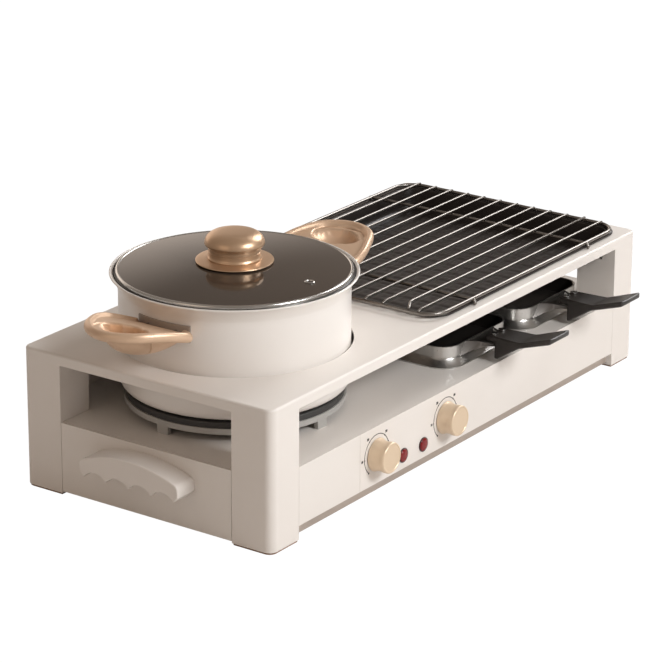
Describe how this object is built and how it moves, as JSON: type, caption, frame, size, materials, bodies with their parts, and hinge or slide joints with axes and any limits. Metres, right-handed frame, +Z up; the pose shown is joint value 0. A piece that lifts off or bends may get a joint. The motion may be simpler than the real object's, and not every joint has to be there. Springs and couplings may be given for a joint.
{
  "type": "hot pot grill combo",
  "caption": "Long electric table cooker: a hob with a lidded two-handled pot, a tray with a wire grill rack, raclette pans beneath, two dials and a storage drawer.",
  "frame": {"origin": "middle of the bounding box in plan, at the surface that the cooker stands on", "axes": "+Z up; +X along the housing from the drawer end to the grill end; the dials and pans face -Y"},
  "size_m": [0.6562, 0.3294, 0.2285],
  "materials": {
    "cream_paint": "satin",
    "cream_plastic": "satin",
    "cream_enamel": "gloss enamel",
    "gold_plastic": "champagne gold",
    "gold_metal": "champagne gold",
    "dark_glass": "smoke tint",
    "steel": "brushed",
    "chrome_wire": "plated",
    "zinc_sheet": "zinc plated",
    "black_coat": "non-stick",
    "black_plastic": "moulded",
    "hob_iron": "heat-proof grey",
    "hob_sheet": "light grey",
    "element_steel": "oxidised",
    "red_lens": "translucent red",
    "brown_rubber": "soft"
  },
  "bodies": {
    "housing": {"deck": "cream_paint", "corner_post_front_left": "cream_plastic", "corner_post_front_right": "cream_plastic", "corner_post_rear_left": "cream_plastic", "corner_post_rear_right": "cream_plastic", "foot_pads": "brown_rubber", "deck_screws": "steel", "front_panel": "cream_paint", "control_panel": "cream_plastic", "rear_panel": "cream_paint", "rear_screen": "cream_paint", "end_panel": "cream_paint", "base_top": "cream_paint", "floor_pan": "zinc_sheet", "drawer_rails": "zinc_sheet", "hob_plate": "hob_iron", "hob_ring": "hob_sheet", "hob_coil": "element_steel", "hob_stud": "steel", "hob_nut": "steel", "grill_element": "element_steel", "element_strap_left": "zinc_sheet", "element_strap_right": "zinc_sheet", "wire_duct": "zinc_sheet", "hob_thermostat": "black_plastic", "grill_thermostat": "black_plastic", "hob_lamp_lens": "red_lens", "grill_lamp_lens": "red_lens", "lamp_holders": "black_plastic", "mains_inlet": "black_plastic", "terminal_block": "black_plastic"},
    "pot": {"pot_shell": "cream_enamel", "pot_base_plate": "steel", "pot_handle_left": "gold_plastic", "pot_handle_right": "gold_plastic", "handle_brackets": "steel", "handle_screws": "steel"},
    "lid": {"lid_band": "steel", "lid_glass": "dark_glass", "lid_vent": "steel", "lid_knob_flange": "gold_metal", "lid_knob": "gold_metal", "lid_screw": "steel"},
    "tray": {"grill_tray": "black_coat"},
    "rack": {"rack_frame": "chrome_wire", "rack_rods": "chrome_wire"},
    "drawer": {"drawer_front": "cream_paint", "drawer_bin": "cream_plastic", "drawer_screws": "steel", "drawer_pull": "cream_plastic"},
    "hob_control": {"hob_knob": "gold_plastic", "hob_shaft": "steel"},
    "grill_control": {"grill_knob": "gold_plastic", "grill_shaft": "steel"},
    "pan_1": {"pan_1_tray": "steel", "pan_1_handle": "black_plastic", "pan_1_rivets": "steel"},
    "pan_2": {"pan_2_tray": "steel", "pan_2_handle": "black_plastic", "pan_2_rivets": "steel"}
  },
  "joints": [
    {"name": "pot_lift", "type": "slide", "parent": "housing", "child": "pot", "axis": [0, 0, 1], "range_m": [0, 0.12]},
    {"name": "lid_lift", "type": "slide", "parent": "pot", "child": "lid", "axis": [0, 0, 1], "range_m": [0, 0.08]},
    {"name": "tray_lift", "type": "slide", "parent": "housing", "child": "tray", "axis": [0, 0, 1], "range_m": [0, 0.006]},
    {"name": "rack_lift", "type": "slide", "parent": "tray", "child": "rack", "axis": [0, 0, 1], "range_m": [0, 0.006]},
    {"name": "drawer_slide", "type": "slide", "parent": "housing", "child": "drawer", "axis": [-1, 0, 0], "range_m": [0, 0.19]},
    {"name": "hob_control_turn", "type": "hinge", "parent": "housing", "child": "hob_control", "pos_m": [-0.1164, -0.10525, 0.042], "axis": [0, 1, 0], "range_deg": [0, 270]},
    {"name": "grill_control_turn", "type": "hinge", "parent": "housing", "child": "grill_control", "pos_m": [-0.0074, -0.10525, 0.042], "axis": [0, 1, 0], "range_deg": [0, 270]},
    {"name": "pan_1_slide", "type": "slide", "parent": "housing", "child": "pan_1", "axis": [0, -1, 0], "range_m": [0, 0.13]},
    {"name": "pan_2_slide", "type": "slide", "parent": "housing", "child": "pan_2", "axis": [0, -1, 0], "range_m": [0, 0.13]}
  ]
}
